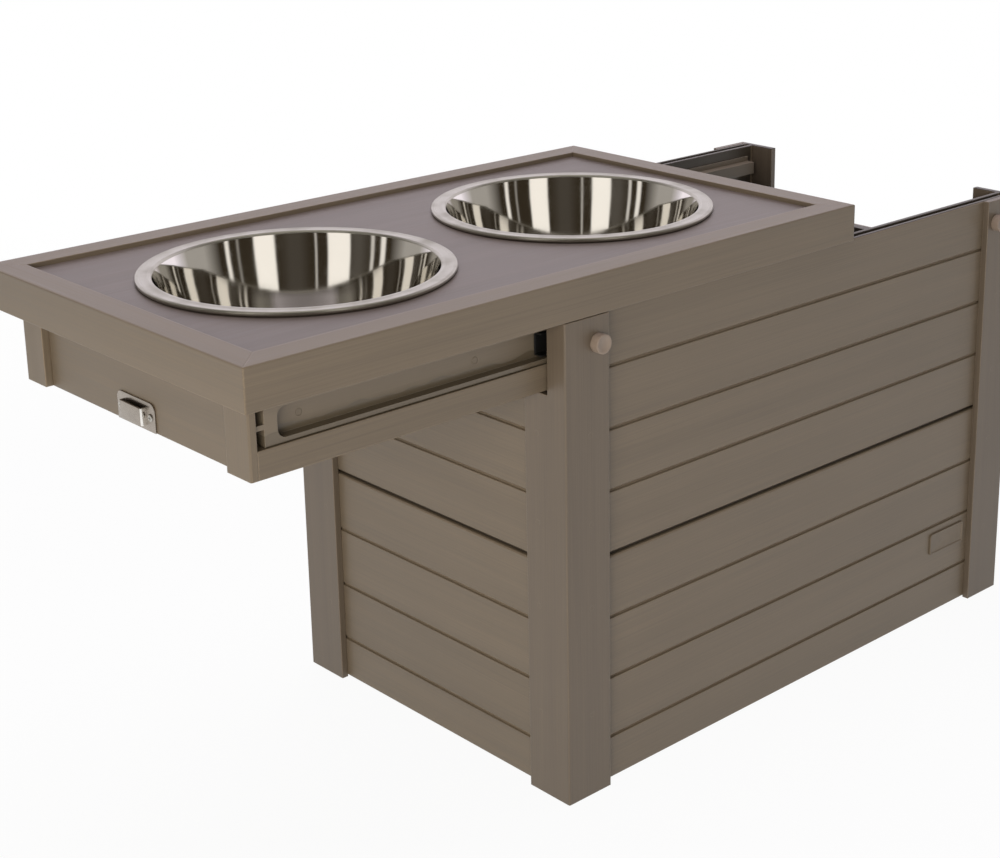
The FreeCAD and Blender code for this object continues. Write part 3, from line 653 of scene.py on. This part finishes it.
def drawBowl(name, node, body):
    low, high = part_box(node)
    middle = (low + high) / 2
    top = high.z
    rings = bowlRings(top)
    deselectAll()
    bpy.ops.mesh.primitive_circle_add(vertices=bowl["segments"], radius=rings[0][0], fill_type="NGON",
                                      location=(middle.x, middle.y, rings[0][1]))
    piece = nameActive(name)
    applyPlace(piece)
    editMode()
    for before, after in zip(rings, rings[1:]):
        bpy.ops.mesh.extrude_region_move(TRANSFORM_OT_translate={"value": (0, 0, after[1] - before[1])})
        grow = after[0] / before[0]
        bpy.ops.transform.resize(value=(grow, grow, 1), center_override=(middle.x, middle.y, after[1]))
    objectMode()
    outwardNormals(piece)
    rimFrom = bowl["mouthRadius"] - 0.2 * mm
    for face in piece.data.polygons:
        away = math.hypot(face.center.x - middle.x, face.center.y - middle.y)
        onRim = away > rimFrom and face.center.z > top - bowl["rimBelow"]
        face.material_index = 1 if onRim else 0
    polished = spunSteel(name + " polished inside", middle, bowl["inside"], bowl["insideRough"], 0.02)
    satin = spunSteel(name + " satin rim", middle, bowl["rim"], bowl["rimRough"], 0.03)
    piece.data.materials.append(polished)
    piece.data.materials.append(satin)
    makeActive(piece)
    bpy.ops.object.shade_smooth_by_angle(angle=math.radians(50))
    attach(piece, body)
    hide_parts(node)


drawBowl("front_steel_bowl", "front_bowl", "front_bowl")
drawBowl("back_steel_bowl", "back_bowl", "back_bowl")
print("bowls drawn")


# Caps over the bolts of the slide rails

cap = {
    "radius": 7 * mm,
    "height": 7 * mm,
    "chamfer": 1.1 * mm,
    "dish": 0.35 * mm,
    "dishShare": 0.72,
    "dishSlope": 0.6 * mm,
    "boltRadius": 2.5 * mm,
    "boltReach": 24 * mm,
}


def drawCap(name, x, y, z, side):
    # side is -1 on the right of the box and 1 on the left
    deselectAll()
    middle = (x, y - side * cap["height"] / 2, z)
    bpy.ops.mesh.primitive_cylinder_add(vertices=64, radius=cap["radius"], depth=cap["height"],
                                        location=middle, rotation=(math.pi / 2, 0, 0))
    piece = nameActive(name)
    applyPlace(piece)
    pickFaces(piece, lambda centre, normal: normal.y * side > 0.9)
    bpy.ops.mesh.inset(thickness=cap["radius"] * (1 - cap["dishShare"]), depth=0)
    bpy.ops.mesh.inset(thickness=cap["dishSlope"], depth=-cap["dish"])
    pickFaces(piece, lambda centre, normal: normal.y * side < -0.9)
    bpy.ops.mesh.inset(thickness=cap["radius"] - cap["boltRadius"], depth=0)
    bpy.ops.mesh.extrude_region_move(TRANSFORM_OT_translate={"value": (0, -side * cap["boltReach"], 0)})
    objectMode()
    softEdges(piece, cap["chamfer"] / 2, 4, 60)
    return piece


capLow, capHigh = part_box("cap_bolts")
capNearX = capLow.x + cap["radius"]
capFarX = capHigh.x - cap["radius"]
capZ = (capLow.z + capHigh.z) / 2
caps = []
for side, y in ((-1, capLow.y), (1, capHigh.y)):
    for x in (capNearX, capFarX):
        caps.append(drawCap("cap", x, y, capZ, side))
capsPiece = joinInto("bolt_caps", caps)
capsPiece.data.materials.append(finishes["caps"])
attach(capsPiece, "base")
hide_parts("cap_bolts")
print("caps drawn")


# Keeper of the latch on the drawer's front: a stamped plate with a raised loop and two screws

keeper = {
    "sheet": 1.2 * mm,
    "cornerRadius": 5 * mm,
    "loopHalf": 13 * mm,
    "loopLow": 312.75 * mm,
    "loopHigh": 324.75 * mm,
    "loopProud": 4.5 * mm,
    "loopRound": 1.6 * mm,
    "edge": 0.22 * mm,
    "screwSide": 17.75 * mm,
    "screwHead": 2.6 * mm,
    "headRise": 1.0 * mm,
    "headRound": 0.7 * mm,
    "crossDepth": 0.55 * mm,
    "crossArm": 1.5 * mm,
    "crossWidth": 0.5 * mm,
}


def drawKeeper():
    low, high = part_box("latch_keeper")
    back = high.x
    plateFace = back - keeper["sheet"]
    plate = addBlock("keeper plate", (plateFace, low.y, low.z), (back, high.y, high.z))
    pickEdges(plate, lambda a, b: abs(a.x - b.x) > 0.5 * mm and min(a.z, b.z) > high.z - tolerance)
    bpy.ops.mesh.bevel(offset=keeper["cornerRadius"], segments=10, affect="EDGES")
    objectMode()
    softEdges(plate, keeper["edge"], 3, 30)

    sheet = keeper["sheet"]
    half = keeper["loopHalf"]
    strapFace = plateFace - keeper["loopProud"]
    loopLow, loopHigh = keeper["loopLow"], keeper["loopHigh"]
    strap = addBlock("keeper strap", (strapFace, -half, loopLow), (plateFace, half, loopHigh))
    pickEdges(strap, lambda a, b: abs(a.z - b.z) > 5 * mm and max(a.x, b.x) < strapFace + tolerance)
    bpy.ops.mesh.bevel(offset=keeper["loopRound"], segments=6, affect="EDGES")
    objectMode()
    hollow = addBlock("keeper hollow", (strapFace + sheet, -half + sheet, loopLow - sheet),
                      (back, half - sheet, loopHigh + sheet))
    cutAway(strap, hollow)
    softEdges(strap, keeper["edge"], 3, 30)
    piece = joinInto("keeper_plate_and_loop", [plate, strap])
    piece.data.materials.append(finishes["latch"])
    piece.data.materials.append(finishes["latchLitCheek"])
    # painted highlight: the loop's two rounded ends get a lighter, glossier copy of the latch steel
    for face in piece.data.polygons:
        outward = face.normal.y if face.center.y > 0 else -face.normal.y
        proud = face.center.x < plateFace - 0.2 * mm
        face.material_index = 1 if proud and outward > 0.6 else 0
    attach(piece, "tray")
    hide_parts("latch_keeper")
    return plateFace


def drawScrewHead(name, x, y, z):
    # a pan head that faces -X, with a cross recess
    deselectAll()
    rise = keeper["headRise"]
    bpy.ops.mesh.primitive_cylinder_add(vertices=40, radius=keeper["screwHead"], depth=rise,
                                        location=(x - rise / 2, y, z), rotation=(0, math.pi / 2, 0))
    head = nameActive(name)
    applyPlace(head)
    pickEdges(head, lambda a, b: max(a.x, b.x) < x - rise + tolerance)
    bpy.ops.mesh.bevel(offset=keeper["headRound"], segments=5, affect="EDGES")
    objectMode()
    arm, thin = keeper["crossArm"], keeper["crossWidth"] / 2
    bottom = x - rise + keeper["crossDepth"]
    for reachY, reachZ in ((arm, thin), (thin, arm)):
        slot = addBlock("cross slot", (x - 2 * rise, y - reachY, z - reachZ),
                        (bottom, y + reachY, z + reachZ))
        cutAway(head, slot)
    makeActive(head)
    bpy.ops.object.shade_smooth_by_angle(angle=math.radians(35))
    return head


keeperFace = drawKeeper()
headLow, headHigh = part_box("keeper_screws")
headZ = (headLow.z + headHigh.z) / 2
firstHead = drawScrewHead("keeper head", keeperFace, -keeper["screwSide"], headZ)
otherHead = copyAt(firstHead, "keeper head twin", (0, 2 * keeper["screwSide"], 0))
headsPiece = joinInto("keeper_screw_heads", [firstHead, otherHead])
headsPiece.data.materials.append(finishes["screws"])
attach(headsPiece, "tray")
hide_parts("keeper_screws")
print("keeper drawn")


# Blank plate on the right side, with a raised border round a sunk field

badge = {"border": 1.4 * mm, "slope": 0.5 * mm, "sink": 0.7 * mm, "corner": 2.6 * mm, "edge": 0.15 * mm}


def drawBadge():
    low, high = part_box("blank_plate")
    plate = addBlock("plain_plate", low, high)
    pickEdges(plate, lambda a, b: abs(a.y - b.y) > 1 * mm)
    bpy.ops.mesh.bevel(offset=badge["corner"], segments=6, affect="EDGES")
    pickFaces(plate, lambda centre, normal: normal.y < -0.9)
    bpy.ops.mesh.inset(thickness=badge["border"], depth=0)
    bpy.ops.mesh.inset(thickness=badge["slope"], depth=-badge["sink"])
    objectMode()
    softEdges(plate, badge["edge"], 3, 25)
    plate.data.materials.append(finishes["plate"])
    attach(plate, "base")
    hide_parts("blank_plate")


drawBadge()
print("plate drawn")


# Floor, light and camera

stage = {
    "floor": 14,
    "floorDrop": 0.5 * mm,
    "floorTint": (0.86, 0.86, 0.86, 1),
    "whiteShare": 0.94,
    "near": 0.75,
    "far": 1.7,
    "bounce": 0.32,
    "worldLight": 0.22,
    "aim": (-0.05, 0, 0.22),
}


def seenDirectly(tree):
    # 1 for the camera, and for what metal or glass shows of the background
    rays = addNode(tree, "ShaderNodeLightPath")
    seen = mathNode(tree, "MAXIMUM", rays.outputs["Is Camera Ray"], rays.outputs["Is Glossy Ray"])
    return mathNode(tree, "MAXIMUM", seen, rays.outputs["Is Transmission Ray"])


def drawFloor():
    deselectAll()
    bpy.ops.mesh.primitive_plane_add(size=stage["floor"], location=(0, 0, -stage["floorDrop"]))
    ground = nameActive("studio_floor")
    finish = bpy.data.materials.new("studio floor white")
    finish.use_nodes = True
    tree = finish.node_tree
    tree.nodes.clear()
    # white as the background far off, and a little less near the object, where its shadow falls
    place = addNode(tree, "ShaderNodeTexCoord").outputs["Object"]
    away = addNode(tree, "ShaderNodeVectorMath", {0: place}, operation="LENGTH").outputs["Value"]
    white = remap(tree, away, stage["near"], stage["far"], stage["whiteShare"], 1)
    extra = mathNode(tree, "SUBTRACT", white, stage["bounce"])
    share = mathNode(tree, "MULTIPLY", seenDirectly(tree), extra)
    share = mathNode(tree, "ADD", share, stage["bounce"])
    matte = addNode(tree, "ShaderNodeBsdfDiffuse", {"Color": stage["floorTint"]})
    glow = addNode(tree, "ShaderNodeEmission", {"Color": (1, 1, 1, 1), "Strength": 1})
    mix = addNode(tree, "ShaderNodeMixShader", {0: share, 1: matte.outputs[0], 2: glow.outputs[0]})
    addNode(tree, "ShaderNodeOutputMaterial", {"Surface": mix.outputs[0]})
    ground.data.materials.append(finish)


def drawWorld():
    world = bpy.data.worlds.new("studio white")
    bpy.context.scene.world = world
    world.use_nodes = True
    tree = world.node_tree
    back = tree.nodes["Background"]
    strength = remap(tree, seenDirectly(tree), 0, 1, stage["worldLight"], 1)
    tree.links.new(strength, back.inputs["Strength"])
    back.inputs["Color"].default_value = (1, 1, 1, 1)


warm, cool, neutral = (1, 0.94, 0.84), (0.92, 0.87, 1), (1, 0.97, 0.93)
lamps = {
    "front softbox": {"place": (-1.57, -0.99, 0.65), "size": (1.0, 0.7), "power": 19.5, "tint": warm},
    "overhead softbox": {"place": (0.2, 0.2, 2.4), "size": (2.0, 1.6), "power": 31, "tint": cool},
    "right fill": {"place": (0.45, -2.2, 0.25), "size": (1.8, 0.5), "power": 1, "tint": warm},
    "back fill": {"place": (2.0, 2.2, 1.0), "size": (1.8, 1.4), "power": 27, "tint": neutral},
}


def drawLamps():
    aim = Vector(stage["aim"])
    for name, lamp in lamps.items():
        data = bpy.data.lights.new(name, "AREA")
        data.shape = "RECTANGLE"
        data.size, data.size_y = lamp["size"]
        data.energy = lamp["power"]
        data.color = lamp["tint"]
        light = bpy.data.objects.new(name, data)
        bpy.context.collection.objects.link(light)
        light.location = lamp["place"]
        light.rotation_euler = (aim - Vector(lamp["place"])).to_track_quat("-Z", "Y").to_euler()
        light.visible_glossy = False
        light.visible_camera = False


# The room that polished metal sees: dark in front with tall lit strips, white behind, lit overhead
# A strip is a bearing from the camera's side, a width, a level and the width of its soft edge
room = {
    "radius": 5,
    "rim": -10 * mm,
    "front": 227,
    "strips": [(-102, 36, 0.34, 16), (-69, 4.5, 0.85, 2), (-59, 3, 0.6, 1.6), (-46, 14, 0.05, 10),
               (-29.5, 19, 1, 2), (-10, 1.8, 0.45, 1.2), (8, 18, 0.03, 10), (33.5, 18, 1, 2),
               (57, 2, 0.25, 1.5), (67, 3.5, 0.9, 2), (102, 40, 0.34, 16)],
    "stripTop": (0.80, 0.62),
    "backdrop": 62,
    "backdropFade": 8,
    "backdropTop": (0.85, 0.6),
    "overhead": 0.55,
    "overheadFrom": (0.80, 0.93),
    "dark": colour(50, 43, 33),
    "lit": colour(255, 250, 243),
    "backdropTint": colour(250, 243, 252),
    "level": 1.25,
}


def drawRoom():
    deselectAll()
    bpy.ops.mesh.primitive_uv_sphere_add(segments=96, ring_count=48, radius=room["radius"])
    dome = nameActive("studio_room")
    editMode()
    bpy.ops.mesh.bisect(plane_co=(0, 0, room["rim"]), plane_no=(0, 0, 1), clear_inner=True)
    objectMode()
    finish = bpy.data.materials.new("studio room")
    finish.use_nodes = True
    tree = finish.node_tree
    tree.nodes.clear()
    place = addNode(tree, "ShaderNodeTexCoord").outputs["Object"]
    angle = math.radians(180 - room["front"])
    turn = addNode(tree, "ShaderNodeVectorRotate", {"Vector": place, "Angle": angle}, rotation_type="Z_AXIS")
    parts = addNode(tree, "ShaderNodeSeparateXYZ", {0: turn.outputs[0]})
    # bearing runs from -180 to 180 with 0 towards the camera
    aside = mathNode(tree, "MULTIPLY", parts.outputs["Y"], -1)
    ahead = mathNode(tree, "MULTIPLY", parts.outputs["X"], -1)
    bearing = mathNode(tree, "MULTIPLY", mathNode(tree, "ARCTAN2", aside, ahead), 180 / math.pi)
    light = None
    for centre, width, level, fade in room["strips"]:
        off = mathNode(tree, "ABSOLUTE", mathNode(tree, "SUBTRACT", bearing, centre), 0)
        strip = remap(tree, off, width / 2 + fade / 2, width / 2 - fade / 2, 0, level)
        light = strip if light is None else mathNode(tree, "MAXIMUM", light, strip)
    height = mathNode(tree, "DIVIDE", parts.outputs["Z"], room["radius"])
    light = mathNode(tree, "MULTIPLY", light, remap(tree, height, *room["stripTop"], 0, 1))
    ceiling = remap(tree, height, *room["overheadFrom"], 0, room["overhead"])
    light = mathNode(tree, "MAXIMUM", light, ceiling)
    edge, soft = 180 - room["backdrop"], room["backdropFade"]
    behind = remap(tree, mathNode(tree, "ABSOLUTE", bearing, 0), edge - soft, edge + soft, 0, 1)
    behind = mathNode(tree, "MULTIPLY", behind, remap(tree, height, *room["backdropTop"], 0, 1))
    body = mixColours(tree, light, room["dark"], room["lit"])
    body = mixColours(tree, behind, body, room["backdropTint"])
    glow = addNode(tree, "ShaderNodeEmission", {"Color": body, "Strength": room["level"]})
    addNode(tree, "ShaderNodeOutputMaterial", {"Surface": glow.outputs[0]})
    dome.data.materials.append(finish)
    dome.visible_camera = False
    dome.visible_diffuse = False
    dome.visible_shadow = False
    dome.visible_transmission = False
    dome.visible_volume_scatter = False


camera = {
    "place": (-0.9476, -1.0269, 0.7301),
    "turn": (73.501, 0.275, -44.133),
    "sensor": 36,
    "lens": 68,
    "shift": (-0.10, -0.13),
}


def placeCamera():
    data = bpy.data.cameras.new("camera")
    data.sensor_width = camera["sensor"]
    data.lens = camera["lens"]
    data.shift_x, data.shift_y = camera["shift"]
    data.clip_start = 0.05
    data.clip_end = 60
    holder = bpy.data.objects.new("camera", data)
    bpy.context.collection.objects.link(holder)
    holder.location = camera["place"]
    holder.rotation_euler = tuple(math.radians(angle) for angle in camera["turn"])
    bpy.context.scene.camera = holder


drawFloor()
drawWorld()
drawLamps()
drawRoom()
placeCamera()
bpy.context.scene.view_settings.view_transform = "Standard"
print("studio set")

deselectAll()
